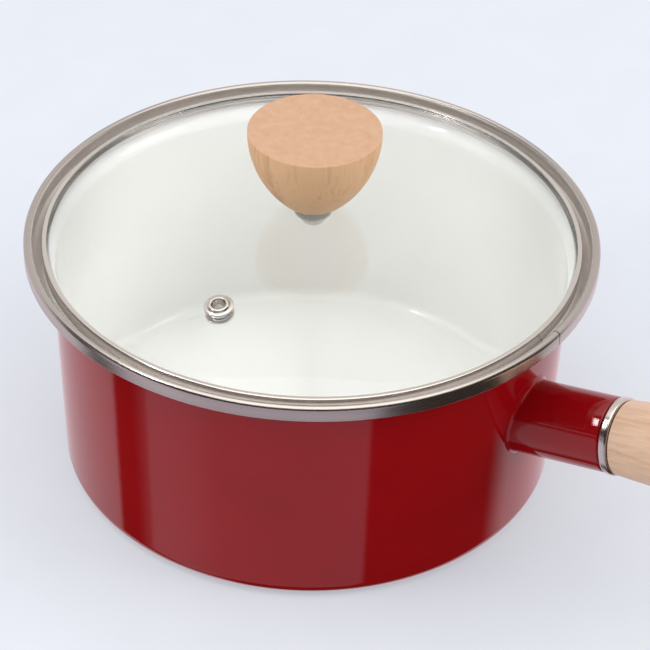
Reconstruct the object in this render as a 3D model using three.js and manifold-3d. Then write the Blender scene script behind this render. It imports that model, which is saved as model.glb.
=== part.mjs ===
// Saucepan with a glass lid: an enamelled steel pan with a stainless rim band, a wooden
// handle held in a welded socket by a tie rod, and a domed glass lid with a wooden knob
// and a steam vent.
// Millimetres, +Z up, +X along the handle, origin at the centre of the pan's underside.

import * as THREE from 'three';
import { mergeVertices } from 'three/addons/utils/BufferGeometryUtils.js';
import Module from 'manifold-3d';

const wasm = await Module();
wasm.setup();

const degrees = Math.PI / 180;

// ---------- driving dimensions ----------

// pan
const panHeight = 92;              // table to the crown of the rim
const wallRadius = 90.5;           // outside of the wall where the flare starts
const wallDraft = 2.8;             // how much narrower the wall is at the table
const panSheet = 1.4;              // enamelled steel sheet
const footFillet = 6;              // outside radius where the wall meets the base
const brimWidth = 9.5;             // wall to the outside of the rim band
const flareAngle = 34 * degrees;   // slope of the flare that carries the lid
const flareFillet = 4;             // outside radius between the wall and the flare

// rim band
const bandSheet = 0.5;             // stainless strip
const bandDepth = 5.2;             // height of the band's outer face
const bandFlange = 5;              // width of its sloped flange, inwards from the bead
const crownFillet = 1.6;           // rounding of the bead's top
const beadRootFillet = 1.2;        // rounding where the bead meets the flange
const seamWidth = 0.4;             // butt seam of the strip
const seamAngle = -1.5 * degrees;  // seam's place round the pan, from the handle

// handle
const handleDrop = 41.2;           // rim's crown down to the handle's axis at the wall
const handleRise = 11 * degrees;   // slope of the handle
const socketRadius = 13.1;         // outside of the socket
const socketSheet = 1.4;           // socket's wall
const socketLength = 33.8;         // wall to the ferrule
const anchorDepth = 9;             // wall to the threaded plate
const anchorThickness = 3;
const ferruleWidth = 3.1;
const ferruleProud = 0.4;          // how far the ferrule stands out of the socket
const tenonLength = 20;            // part of the grip inside the ferrule and the socket
const gripLength = 105;
const gripShoulder = 0.6;          // ferrule's outside to the grip's start
const gripEndRadius = 12.4;
const gripSwell = 2.6;             // how much fuller the grip is at the middle
const gripEndFillet = 5;
const rodRadius = 2.5;
const endWasherRadius = 7.5;
const endWasherThickness = 1.2;
const eyeBossRadius = 4.6;
const eyeBossLength = 8;
const eyeRadius = 5.6;             // middle of the eye's bar
const eyeBarRadius = 2.2;
const ringRadius = 11;             // middle of the hanging ring's wire
const ringWireRadius = 1.4;

// lid
const lidInset = 6.1;              // rim's outside to the lid band's outside
const lidDrop = 1;                 // rim's crown down to the lid band's top
const lidSheet = 0.4;              // strip of the lid band
const lidLip = 1.8;                // width of the band's upper lip
const lidFlange = 3.1;             // width of its lower lip
const glassThickness = 4;
const glassFlat = 2.4;             // flat border of the glass, from the band's outside
const domeRise = 12.6;             // border to the crown of the glass
const glassHoleRadius = 4;

// knob
const knobRadius = 23;
const knobHeight = 29.3;
const knobFootRadius = 8.4;
const knobTaper = 1.7;             // 1 makes the side a half ellipse, more makes it a cone
const knobEdgeFillet = 1;
const insertRadius = 4;
const insertLength = 14;
const screwRadius = 2;
const screwGrip = 11;              // length of screw inside the insert
const screwHeadRadius = 3.8;
const screwHeadHeight = 2.6;
const gasketRadius = 6.6;
const gasketThickness = 0.8;
const bushRadius = 6.4;
const bushThickness = 1;
const bushSleeveRadius = 3.6;
const washerRadius = 5.4;
const washerThickness = 1;

// steam vent
const ventRadius = 61.5;           // lid's axis to the vent
const ventAngle = 273 * degrees;   // vent's place round the lid, from the handle
const ventHoleRadius = 2.3;
const eyeletTubeRadius = 3.1;
const eyeletFlangeRadius = 5;
const eyeletFlangeHeight = 0.6;
const eyeletLipRadius = 3.5;
const eyeletLipHeight = 1.5;
const eyeletRollRadius = 4.3;
const eyeletRollHeight = 0.6;
const ventWasherRadius = 5;
const ventWasherThickness = 0.8;

// clearances
const fit = 0.3;                   // between pieces that are cut or turned together
const rest = 0.15;                 // between pieces that are stacked on one axis

// facets
const panSides = 60;
const handleSides = 28;
const knobSides = 36;
const smallSides = 20;

// ---------- finishes ----------

const redEnamel = { color: 0x8c0d14, roughness: 0.15, metalness: 0 };
const stainless = { color: 0xc8c4be, roughness: 0.25, metalness: 1 };
const steel = { color: 0x9a9a98, roughness: 0.4, metalness: 1 };
const brass = { color: 0xc8a04a, roughness: 0.35, metalness: 1 };
const wood = { color: 0xdcb48c, roughness: 0.6, metalness: 0 };
const clearGlass = { color: 0xe8eeea, roughness: 0.05, metalness: 0, transparent: true, opacity: 0.3 };
const silicone = { color: 0xe4e2dc, roughness: 0.6, metalness: 0 };

// ---------- helpers ----------

// Points of an outline whose corners are [radius, height, fillet]; a fillet becomes an arc.
function roundedOutline(corners, closed, arcSteps = 3) {
  const points = [];
  const count = corners.length;
  corners.forEach(([radius, height, fillet = 0], index) => {
    const corner = new THREE.Vector2(radius, height);
    const isEnd = !closed && (index === 0 || index === count - 1);
    if (isEnd || fillet === 0) {
      points.push(corner);
      return;
    }
    const [beforeRadius, beforeHeight] = corners[(index + count - 1) % count];
    const [afterRadius, afterHeight] = corners[(index + 1) % count];
    const back = new THREE.Vector2(beforeRadius, beforeHeight).sub(corner);
    const ahead = new THREE.Vector2(afterRadius, afterHeight).sub(corner);
    const room = 0.48 * Math.min(back.length(), ahead.length());
    back.normalize();
    ahead.normalize();
    const halfAngle = Math.acos(THREE.MathUtils.clamp(back.dot(ahead), -1, 1)) / 2;
    const reach = Math.min(fillet / Math.tan(halfAngle), room);
    const arcRadius = reach * Math.tan(halfAngle);
    const inwards = back.clone().add(ahead).normalize();
    const centre = inwards.multiplyScalar(arcRadius / Math.sin(halfAngle)).add(corner);
    const start = back.multiplyScalar(reach).add(corner).sub(centre).angle();
    const end = ahead.multiplyScalar(reach).add(corner).sub(centre).angle();
    const sweep = Math.atan2(Math.sin(end - start), Math.cos(end - start));
    for (let step = 0; step <= arcSteps; step += 1) {
      const angle = start + (sweep * step) / arcSteps;
      const spoke = new THREE.Vector2(Math.cos(angle), Math.sin(angle)).multiplyScalar(arcRadius);
      points.push(spoke.add(centre));
    }
  });
  return points;
}

// A solid of revolution about +Z. The outline runs anticlockwise, with radius to the right
// and height up. It starts and ends on the axis, or closes on itself.
function revolve(corners, sides, arcSteps) {
  const onAxis = corners[0][0] === 0 && corners[corners.length - 1][0] === 0;
  const points = roundedOutline(corners, !onAxis, arcSteps);
  if (!onAxis) points.push(points[0].clone());
  return new THREE.LatheGeometry(points, sides).rotateX(Math.PI / 2);
}

// A manifold solid of a closed geometry, with shared vertices merged.
function toSolid(geometry) {
  const bare = geometry.clone();
  bare.deleteAttribute('normal');
  bare.deleteAttribute('uv');
  const merged = mergeVertices(bare, 1e-4);
  const corners = merged.index.array;
  const triangles = [];
  for (let i = 0; i < corners.length; i += 3) {
    const [a, b, c] = [corners[i], corners[i + 1], corners[i + 2]];
    if (a !== b && b !== c && c !== a) triangles.push(a, b, c);
  }
  return new wasm.Manifold(new wasm.Mesh({
    numProp: 3,
    vertProperties: new Float32Array(merged.attributes.position.array),
    triVerts: new Uint32Array(triangles),
  }));
}

function toGeometry(solid) {
  const { vertProperties, triVerts } = solid.getMesh();
  const geometry = new THREE.BufferGeometry();
  geometry.setAttribute('position', new THREE.BufferAttribute(vertProperties, 3));
  geometry.setIndex(new THREE.BufferAttribute(triVerts, 1));
  geometry.computeVertexNormals();
  return geometry;
}

const subtract = (geometry, tool) => toGeometry(toSolid(geometry).subtract(toSolid(tool)));
const join = (first, second) => toGeometry(toSolid(first).add(toSolid(second)));

function part(name, geometry, finish) {
  const mesh = new THREE.Mesh(geometry, new THREE.MeshStandardMaterial(finish));
  mesh.name = name;
  return mesh;
}

// ---------- places that several pieces share ----------

const rimRadius = wallRadius + brimWidth;
const collarOutside = rimRadius - bandSheet - fit;
const collarInside = collarOutside - panSheet;
const beadInside = collarInside - fit - bandSheet;

const lidRadius = rimRadius - lidInset;
const lidTop = panHeight - lidDrop;
const lidHeight = glassThickness + 2 * (lidSheet + rest);
const lidBottom = lidTop - lidHeight;

// Height of the flange that the lid sits on, on its upper face.
const flangeHeight = (radius) => lidBottom - fit / Math.cos(flareAngle)
  + (radius - lidRadius) * Math.tan(flareAngle);
// Height of a face that lies a given depth below the flange's upper face.
const belowFlange = (radius, depth) => flangeHeight(radius) - depth / Math.cos(flareAngle);
const panUpperDepth = bandSheet + fit;
const panUnderDepth = panUpperDepth + panSheet;

const flareStart = belowFlange(wallRadius, panUnderDepth);
const footRadius = wallRadius - wallDraft;
const wallOutsideAt = (height) => footRadius + (wallDraft * height) / flareStart;

const glassTop = lidTop - lidSheet - rest;
const domeRadius = lidRadius - glassFlat;
const sphereRadius = (domeRadius ** 2 + domeRise ** 2) / (2 * domeRise);
// Height of the glass's upper face over the dome.
const domeHeight = (radius) => glassTop + domeRise - sphereRadius
  + Math.sqrt(sphereRadius ** 2 - radius ** 2);

// ---------- pan ----------

function panBody() {
  const innerFlareStart = belowFlange(wallRadius - panSheet, panUpperDepth);
  return revolve([
    [0, 0],
    [footRadius, 0, footFillet],
    [wallRadius, flareStart, flareFillet],
    [collarOutside, belowFlange(collarOutside, panUnderDepth), beadRootFillet + panUnderDepth],
    [collarOutside, panHeight - bandSheet - fit, panSheet * 0.45],
    [collarInside, panHeight - bandSheet - fit, panSheet * 0.45],
    [collarInside, belowFlange(collarInside, panUpperDepth), beadRootFillet + panUpperDepth],
    [wallRadius - panSheet, innerFlareStart, flareFillet + panSheet],
    [wallOutsideAt(panSheet) - panSheet, panSheet, footFillet - panSheet],
    [0, panSheet],
  ], panSides);
}

function rimBand() {
  const flangeInside = beadInside - bandFlange;
  const legBottom = panHeight - bandDepth;
  const backRadius = beadInside + bandSheet;
  const ring = revolve([
    [rimRadius, legBottom],
    [rimRadius, panHeight, crownFillet],
    [beadInside, panHeight, crownFillet],
    [beadInside, flangeHeight(beadInside), beadRootFillet],
    [flangeInside, flangeHeight(flangeInside)],
    [flangeInside, belowFlange(flangeInside, bandSheet)],
    [backRadius, belowFlange(backRadius, bandSheet), beadRootFillet + bandSheet],
    [backRadius, panHeight - bandSheet, crownFillet - bandSheet],
    [rimRadius - bandSheet, panHeight - bandSheet, crownFillet - bandSheet],
    [rimRadius - bandSheet, legBottom],
  ], panSides, 2);
  const seam = new THREE.BoxGeometry(brimWidth * 2, seamWidth, panHeight)
    .translate(rimRadius, 0, panHeight)
    .rotateZ(seamAngle);
  return subtract(ring, seam);
}

// ---------- handle, along +Z of its own group, which starts at the pan's wall ----------

const handleHeight = panHeight - handleDrop;
const handle = new THREE.Group();
handle.position.set(wallOutsideAt(handleHeight), 0, handleHeight);
handle.rotation.y = Math.PI / 2 - handleRise;
handle.updateMatrixWorld();

const socketInside = socketRadius - socketSheet;
const ferruleRadius = socketRadius + ferruleProud;
const gripStartRadius = ferruleRadius - gripShoulder;
const ferruleStart = socketLength + fit;
const gripStart = ferruleStart + ferruleWidth + fit;
const gripEnd = gripStart + gripLength;
const eyeStart = gripEnd + fit + endWasherThickness + fit;
const eyeCentre = eyeStart + eyeBossLength + eyeRadius;
const eyeBoreEnd = eyeStart + eyeBossLength - eyeBarRadius - fit;

function handleSocket() {
  const tube = revolve([
    [socketInside, -socketRadius],
    [socketRadius, -socketRadius],
    [socketRadius, socketLength, socketSheet * 0.4],
    [socketInside, socketLength, socketSheet * 0.4],
  ], handleSides, 2);
  const panWall = revolve([
    [0, 0],
    [footRadius + fit, 0],
    [wallRadius + fit, flareStart],
    [0, flareStart],
  ], panSides).applyMatrix4(handle.matrixWorld.clone().invert());
  return subtract(tube, panWall);
}

// A flat ring or a sleeve, with its upper outer edge rounded.
function ringPlate(inside, outside, bottom, thickness, fillet = 0) {
  const top = bottom + thickness;
  return revolve([
    [inside, bottom],
    [outside, bottom],
    [outside, top, fillet],
    [inside, top],
  ], smallSides, 2);
}

const socketAnchor = () => ringPlate(rodRadius + fit, socketInside - fit, anchorDepth, anchorThickness);
const endWasher = () => ringPlate(rodRadius + fit, endWasherRadius, gripEnd + fit,
  endWasherThickness, endWasherThickness / 2);

function handleFerrule() {
  return revolve([
    [socketInside, ferruleStart],
    [ferruleRadius, ferruleStart, ferruleProud],
    [ferruleRadius, ferruleStart + ferruleWidth, ferruleProud],
    [socketInside, ferruleStart + ferruleWidth],
  ], handleSides);
}

function handleGrip() {
  const tenonRadius = socketInside - fit;
  const boreRadius = rodRadius + fit;
  const bellySteps = 8;
  const belly = [];
  for (let step = 1; step < bellySteps; step += 1) {
    const along = step / bellySteps;
    const radius = THREE.MathUtils.lerp(gripStartRadius, gripEndRadius, along)
      + gripSwell * Math.sin(Math.PI * along);
    belly.push([radius, gripStart + gripLength * along]);
  }
  return revolve([
    [boreRadius, gripStart - tenonLength],
    [tenonRadius, gripStart - tenonLength],
    [tenonRadius, gripStart],
    [gripStartRadius, gripStart],
    ...belly,
    [gripEndRadius, gripEnd, gripEndFillet],
    [boreRadius, gripEnd],
  ], handleSides);
}

function tieRod() {
  return revolve([
    [0, anchorDepth - anchorThickness],
    [rodRadius, anchorDepth - anchorThickness],
    [rodRadius, eyeBoreEnd - fit],
    [0, eyeBoreEnd - fit],
  ], smallSides);
}

function hangingEye() {
  const boss = revolve([
    [rodRadius + fit, eyeStart],
    [eyeBossRadius, eyeStart],
    [eyeBossRadius, eyeStart + eyeBossLength + eyeBarRadius / 2, eyeBarRadius / 2],
    [0, eyeStart + eyeBossLength + eyeBarRadius / 2],
    [0, eyeBoreEnd],
    [rodRadius + fit, eyeBoreEnd],
  ], smallSides);
  const eye = new THREE.TorusGeometry(eyeRadius, eyeBarRadius, 10, smallSides)
    .rotateX(Math.PI / 2)
    .translate(0, 0, eyeCentre);
  return join(boss, eye);
}

// The ring hangs straight down, with its wire on the bottom of the eye.
function hangingRing() {
  const hang = eyeRadius - eyeBarRadius - ringWireRadius - fit;
  const ring = new THREE.TorusGeometry(ringRadius, ringWireRadius, 10, 28)
    .rotateY(Math.PI / 2)
    .translate(0, 0, -ringRadius - hang);
  const mesh = part('hanging_ring', ring, stainless);
  mesh.position.copy(handle.localToWorld(new THREE.Vector3(0, 0, eyeCentre)));
  return mesh;
}

handle.add(
  part('handle_socket', handleSocket(), redEnamel),
  part('socket_anchor', socketAnchor(), steel),
  part('handle_ferrule', handleFerrule(), stainless),
  part('handle_grip', handleGrip(), wood),
  part('tie_rod', tieRod(), steel),
  part('end_washer', endWasher(), stainless),
  part('hanging_eye', hangingEye(), stainless),
);

// ---------- lid ----------

const vent = new THREE.Group();
vent.position.set(ventRadius * Math.cos(ventAngle), ventRadius * Math.sin(ventAngle), domeHeight(ventRadius));
vent.rotation.set(0, Math.asin(ventRadius / sphereRadius), ventAngle, 'ZYX');
vent.updateMatrixWorld();

function lidGlass() {
  const domeSteps = 5;
  const upper = [];
  for (let step = 0; step <= domeSteps; step += 1) {
    const radius = THREE.MathUtils.lerp(domeRadius, glassHoleRadius, step / domeSteps);
    upper.push([radius, domeHeight(radius)]);
  }
  const lower = upper.map(([radius, height]) => [radius, height - glassThickness]).reverse();
  const edgeRadius = lidRadius - lidSheet - rest;
  const dome = revolve([
    ...lower,
    [edgeRadius, glassTop - glassThickness, 2 * lidSheet],
    [edgeRadius, glassTop, 2 * lidSheet],
    ...upper,
  ], panSides, 2);
  const drillRadius = eyeletTubeRadius + fit;
  const ventDrill = new THREE.CylinderGeometry(drillRadius, drillRadius, 6 * glassThickness, smallSides)
    .rotateX(Math.PI / 2)
    .applyMatrix4(vent.matrixWorld);
  return subtract(dome, ventDrill);
}

function lidBand() {
  return revolve([
    [lidRadius - lidFlange, lidBottom],
    [lidRadius, lidBottom, 2 * lidSheet],
    [lidRadius, lidTop, 2 * lidSheet],
    [lidRadius - lidLip, lidTop],
    [lidRadius - lidLip, lidTop - lidSheet],
    [lidRadius - lidSheet, lidTop - lidSheet, lidSheet],
    [lidRadius - lidSheet, lidBottom + lidSheet, lidSheet],
    [lidRadius - lidFlange, lidBottom + lidSheet],
  ], panSides, 2);
}

const glassUnder = -glassThickness - fit;
const ventRollTop = glassUnder - ventWasherThickness - rest;

function ventEyelet() {
  return revolve([
    [ventHoleRadius, ventRollTop - eyeletRollHeight],
    [eyeletRollRadius, ventRollTop - eyeletRollHeight],
    [eyeletRollRadius, ventRollTop],
    [eyeletTubeRadius, ventRollTop],
    [eyeletTubeRadius, rest],
    [eyeletFlangeRadius, rest],
    [eyeletFlangeRadius, eyeletFlangeHeight, eyeletFlangeHeight / 2],
    [eyeletLipRadius, eyeletFlangeHeight],
    [eyeletLipRadius, eyeletLipHeight, eyeletLipHeight / 4],
    [ventHoleRadius, eyeletLipHeight, eyeletLipHeight / 4],
  ], smallSides, 2);
}

vent.add(
  part('vent_eyelet', ventEyelet(), stainless),
  part('vent_washer', ringPlate(eyeletTubeRadius + rest, ventWasherRadius,
    glassUnder - ventWasherThickness, ventWasherThickness), stainless),
);

// ---------- knob and its fastening, about the lid's axis ----------

const glassCrown = domeHeight(0);
const gasketBottom = glassCrown + rest;
const knobFoot = gasketBottom + gasketThickness + rest;
const knobTop = knobFoot + knobHeight;
const crownUnder = domeHeight(0) - glassThickness - rest;
const bushBottom = crownUnder - bushThickness;
const washerBottom = bushBottom - rest - washerThickness;
const headTop = washerBottom - rest;
const boreRadius = insertRadius + rest;

function knobBody() {
  const sideSteps = 7;
  const side = [];
  for (let step = 0; step <= sideSteps; step += 1) {
    const angle = (Math.PI / 2) * (step / sideSteps);
    side.push([
      knobFootRadius + (knobRadius - knobFootRadius) * Math.sin(angle) ** knobTaper,
      knobTop - knobEdgeFillet - (knobHeight - knobEdgeFillet) * Math.cos(angle),
    ]);
  }
  return revolve([
    [boreRadius, knobFoot],
    ...side,
    [knobRadius, knobTop, knobEdgeFillet],
    [0, knobTop],
    [0, knobFoot + insertLength + fit],
    [boreRadius, knobFoot + insertLength + fit],
  ], knobSides);
}

function glassBush() {
  return revolve([
    [screwRadius + fit, bushBottom],
    [bushRadius, bushBottom],
    [bushRadius, crownUnder - rest],
    [bushSleeveRadius, crownUnder - rest],
    [bushSleeveRadius, glassCrown - fit],
    [screwRadius + fit, glassCrown - fit],
  ], smallSides);
}

const knobInsert = () => ringPlate(screwRadius + rest, insertRadius, knobFoot + rest, insertLength - rest);
const knobGasket = () => ringPlate(screwRadius + fit, gasketRadius, gasketBottom, gasketThickness);
const screwWasher = () => ringPlate(screwRadius + fit, washerRadius, washerBottom, washerThickness);

function knobScrew() {
  return revolve([
    [0, headTop - screwHeadHeight],
    [screwHeadRadius, headTop - screwHeadHeight, screwHeadHeight / 2],
    [screwHeadRadius, headTop],
    [screwRadius, headTop],
    [screwRadius, knobFoot + screwGrip],
    [0, knobFoot + screwGrip],
  ], smallSides);
}

// ---------- the whole saucepan ----------

const saucepan = new THREE.Group();
saucepan.add(
  part('pan_body', panBody(), redEnamel),
  part('rim_band', rimBand(), stainless),
  handle,
  hangingRing(),
  part('lid_glass', lidGlass(), clearGlass),
  part('lid_band', lidBand(), stainless),
  vent,
  part('knob', knobBody(), wood),
  part('knob_insert', knobInsert(), brass),
  part('knob_gasket', knobGasket(), silicone),
  part('glass_bush', glassBush(), silicone),
  part('screw_washer', screwWasher(), steel),
  part('knob_screw', knobScrew(), stainless),
);

export default saucepan;
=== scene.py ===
# %% [markdown]
# # An enamelled saucepan with a glass lid
# The saucepan is a pressed steel pan, red enamel outside and off-white enamel inside, with a
# stainless band rolled over its rim, a short enamelled socket welded to the wall, a turned beech
# handle, and a domed glass lid with a steel band, a steam vent and a beech knob.
# The shapes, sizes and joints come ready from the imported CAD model, which is the fixed frame.
# This file gives the object its looks: finer shapes over the CAD nodes, and a material for each.

# %% Load the frame
import math

import bmesh
import bpy
from mathutils import Matrix, Vector


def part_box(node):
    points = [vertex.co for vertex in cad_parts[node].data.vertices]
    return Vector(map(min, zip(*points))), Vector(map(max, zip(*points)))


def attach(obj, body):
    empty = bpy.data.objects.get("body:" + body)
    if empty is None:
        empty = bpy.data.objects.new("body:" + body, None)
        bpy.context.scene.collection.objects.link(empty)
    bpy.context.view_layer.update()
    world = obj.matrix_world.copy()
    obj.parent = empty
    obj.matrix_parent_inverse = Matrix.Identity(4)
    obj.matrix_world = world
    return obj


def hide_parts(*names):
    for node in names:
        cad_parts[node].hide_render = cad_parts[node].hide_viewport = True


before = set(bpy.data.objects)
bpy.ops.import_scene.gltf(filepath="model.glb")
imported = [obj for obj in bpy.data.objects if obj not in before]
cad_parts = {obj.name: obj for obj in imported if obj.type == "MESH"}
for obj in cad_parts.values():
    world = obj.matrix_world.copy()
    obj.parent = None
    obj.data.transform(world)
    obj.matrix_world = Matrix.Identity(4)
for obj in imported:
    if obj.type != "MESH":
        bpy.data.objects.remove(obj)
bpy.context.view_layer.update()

MM = 0.001

# %% [markdown]
# ## Sizes that several pieces share
# A piece has to land exactly on its CAD node, so its main sizes are read from the node's box.
# Wall thicknesses and gaps can't be read from a box, so the maker's sheet sizes are named here.

# %% Sizes read from the frame, and sheet thicknesses
RIM_RADIUS, PAN_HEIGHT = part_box("rim_band")[1].x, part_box("rim_band")[1].z
COLLAR_RADIUS, COLLAR_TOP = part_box("pan_body")[1].x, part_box("pan_body")[1].z
LID_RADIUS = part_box("lid_band")[1].x
LID_BOTTOM, LID_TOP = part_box("lid_band")[0].z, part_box("lid_band")[1].z
GAP = 0.3 * MM                      # between pieces that fit into each other
REST = 0.15 * MM                    # between pieces stacked on one axis
PAN_SHEET = 1.4 * MM                # enamelled steel
BAND_SHEET = 0.5 * MM               # stainless strip of the rim
LID_SHEET = 0.4 * MM                # stainless strip of the lid
WALL_RADIUS = 90.5 * MM             # outside of the wall under the flare
FOOT_RADIUS = 87.7 * MM             # outside of the wall at the table
FLARE = math.radians(34)            # slope of the flare that carries the lid
BEAD_INSIDE = COLLAR_RADIUS - PAN_SHEET - GAP - BAND_SHEET
BAND_DEPTH = 5.2 * MM               # height of the rim band's outer face


def flare_height(radius, depth=0.0):
    """Height on the flare at a radius, at a depth under the band's upper face."""
    top = LID_BOTTOM - GAP / math.cos(FLARE) + (radius - LID_RADIUS) * math.tan(FLARE)
    return top - depth / math.cos(FLARE)


COLLAR_UPPER = BAND_SHEET + GAP     # depth of the pan's upper face under the band's face
COLLAR_UNDER = COLLAR_UPPER + PAN_SHEET
FLARE_START = flare_height(WALL_RADIUS, COLLAR_UNDER)
print("rim radius", round(RIM_RADIUS / MM, 2), "flare starts at", round(FLARE_START / MM, 2))


# %% [markdown]
# ## Camera
# A long lens well back, looking down into the lid, with a slight roll. It is made first, and the
# studio is judged through it.

# %% Camera
CAMERA_AZIMUTH = math.radians(32.2)
CAMERA_ELEVATION = math.radians(36.64)
CAMERA_ROLL = math.radians(1.66)
CAMERA_DISTANCE = 954.6 * MM
CAMERA_LENS, SENSOR_WIDTH = 152.3, 36       # millimetres, as a camera's own settings are
CAMERA_AIM = Vector((14.87, -13.72, 65.74)) * MM


def make_camera():
    """A camera on the line from the aim, rolled about its own axis."""
    data = bpy.data.cameras.new("studio_camera")
    data.lens = CAMERA_LENS
    data.sensor_width = SENSOR_WIDTH
    data.clip_start, data.clip_end = 0.05, 60
    camera = bpy.data.objects.new("studio_camera", data)
    bpy.context.scene.collection.objects.link(camera)
    flat = math.cos(CAMERA_ELEVATION)
    back = Vector((math.sin(CAMERA_AZIMUTH) * flat, -math.cos(CAMERA_AZIMUTH) * flat,
                   math.sin(CAMERA_ELEVATION)))
    turn = back.to_track_quat("Z", "Y").to_matrix().to_4x4()
    place = Matrix.Translation(CAMERA_AIM + back * CAMERA_DISTANCE)
    camera.matrix_world = place @ turn @ Matrix.Rotation(CAMERA_ROLL, 4, "Z")
    bpy.context.scene.camera = camera
    return camera


print("camera at", [round(x, 3) for x in make_camera().location])

# %% [markdown]
# ## Tools for turned pieces
# Almost everything here is round: pressed, spun or turned on a lathe. A person would add a circle,
# extrude it from ring to ring along the section, bridge the last ring to the first, and bevel the
# corner rings. That is what `turned` does. Its section is a list of (radius, height, fillet).
# Extruding a circle keeps clean quads that follow the highlight, which a boolean wouldn't.


# %% Selecting in code
def deselect_all():
    """Leaves edit mode and clears the selection, because operators act on all that is selected."""
    if bpy.context.object and bpy.context.object.mode != "OBJECT":
        bpy.ops.object.mode_set(mode="OBJECT")
    bpy.ops.object.select_all(action="DESELECT")


def activate(piece):
    """Selects one piece only, and makes it the one that operators work on."""
    deselect_all()
    piece.select_set(True)
    bpy.context.view_layer.objects.active = piece


def select_edges(piece, test):
    """In edit mode, selects the edges whose two ends both pass the test."""
    bpy.ops.mesh.select_mode(type="EDGE")
    bpy.ops.mesh.select_all(action="DESELECT")
    mesh = bmesh.from_edit_mesh(piece.data)
    chosen = 0
    for edge in mesh.edges:
        if all(test(vertex.co) for vertex in edge.verts):
            edge.select_set(True)
            chosen += 1
    bmesh.update_edit_mesh(piece.data)
    return chosen


def on_ring(radius, height, slack=0.004 * MM):
    """A test for vertices on one ring about the vertical axis."""
    return lambda co: abs(math.hypot(co.x, co.y) - radius) < slack and abs(co.z - height) < slack


# %% Applying modifiers, smoothing and placing
def apply_modifier(piece, kind, **settings):
    """Adds a modifier with its settings, and applies it."""
    activate(piece)
    modifier = piece.modifiers.new(kind.lower(), kind)
    for name, value in settings.items():
        setattr(modifier, name, value)
    bpy.ops.object.modifier_apply(modifier=modifier.name)


def smooth(piece, angle=32):
    """Smooth shading up to an angle, with flat faces kept flat beside their fillets."""
    activate(piece)
    bpy.ops.object.shade_smooth_by_angle(angle=math.radians(angle))
    apply_modifier(piece, "WEIGHTED_NORMAL", keep_sharp=True)


def place(piece, matrix):
    """Moves a piece to its place, and puts the place into its mesh."""
    activate(piece)
    piece.matrix_world = matrix
    bpy.ops.object.transform_apply(location=True, rotation=True, scale=True)


def finish(piece, *materials, angle=32):
    """Gives a piece its materials and its smooth shading."""
    for material in materials:
        piece.data.materials.append(material)
    smooth(piece, angle)
    return piece


def cut(piece, tool):
    """Cuts a tool's shape out of a piece, and removes the tool."""
    apply_modifier(piece, "BOOLEAN", operation="DIFFERENCE", object=tool, solver="EXACT")
    bpy.data.objects.remove(tool)


def outwardness(face):
    """Positive on faces that look away from the vertical axis, and larger further out."""
    return face.center.x * face.normal.x + face.center.y * face.normal.y


def settle(piece, body, slot, *nodes):
    """The piece rides on a body and stands for its CAD nodes; slot is not used."""
    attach(piece, body)
    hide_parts(*nodes)
    faces = len(piece.data.polygons)
    print(f"{piece.name}: {faces} faces, rides on {body}, stands for {', '.join(nodes)}")


# %% The lathe
def reach_of(section, index, closed):
    """How far a fillet reaches from its corner along each side of the section."""
    count = len(section)
    here = Vector(section[index][:2])
    before = Vector(section[(index - 1) % count][:2]) - here
    after = Vector(section[(index + 1) % count][:2]) - here
    if not closed and index == 0:
        before = Vector((-here.x, 0))
    if not closed and index == count - 1:
        after = Vector((-here.x, 0))
    half_angle = before.angle(after) / 2
    room = 0.48 * min(before.length, after.length)
    return min(section[index][2] / math.tan(half_angle), room)


def turned(name, section, sides, closed=True, steps=4):
    """A piece turned about Z. A closed section makes a ring; an open one is capped at its ends."""
    deselect_all()
    radius, height = section[0][:2]
    bpy.ops.mesh.primitive_circle_add(vertices=sides, radius=radius, location=(0, 0, height))
    piece = bpy.context.object
    piece.name = name
    bpy.ops.object.transform_apply(location=True)
    bpy.ops.object.mode_set(mode="EDIT")
    bpy.ops.mesh.select_all(action="SELECT")
    if not closed:
        bpy.ops.mesh.edge_face_add()
        select_edges(piece, on_ring(radius, height))
    for next_radius, next_height in (corner[:2] for corner in section[1:]):
        bpy.ops.mesh.extrude_edges_move(
            TRANSFORM_OT_translate={"value": (0, 0, next_height - height)})
        share = next_radius / radius
        bpy.ops.transform.resize(value=(share, share, 1), center_override=(0, 0, next_height))
        radius, height = next_radius, next_height
    if closed:
        select_edges(piece, on_ring(radius, height))
        first = on_ring(*section[0][:2])
        mesh = bmesh.from_edit_mesh(piece.data)
        for edge in mesh.edges:
            if all(first(vertex.co) for vertex in edge.verts):
                edge.select_set(True)
        bmesh.update_edit_mesh(piece.data)
        bpy.ops.mesh.bridge_edge_loops()
    else:
        bpy.ops.mesh.edge_face_add()
    bpy.ops.mesh.select_all(action="SELECT")
    bpy.ops.mesh.normals_make_consistent(inside=False)
    for index, corner in enumerate(section):
        if len(corner) == 3:
            select_edges(piece, on_ring(*corner[:2]))
            bpy.ops.mesh.bevel(offset=reach_of(section, index, closed), offset_type="OFFSET",
                               segments=steps, profile=0.5, affect="EDGES", clamp_overlap=False)
    bpy.ops.object.mode_set(mode="OBJECT")
    return piece


# %% [markdown]
# ## Tools for materials
# Each material is a small node tree. Colours are chosen as sRGB hex values, as a maker would read
# them off a chart, and turned to linear light by one function. One function adds a node with its
# settings and its links. All patterns read Object coordinates, in metres, so a pattern's scale is
# one over its real size.


# %% Colour and node helpers
def colour(code):
    """An sRGB hex colour as linear red, green, blue and alpha."""
    parts = [int(code[start:start + 2], 16) / 255 for start in (1, 3, 5)]
    linear = [p / 12.92 if p <= 0.04045 else ((p + 0.055) / 1.055) ** 2.4 for p in parts]
    return (*linear, 1.0)


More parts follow.
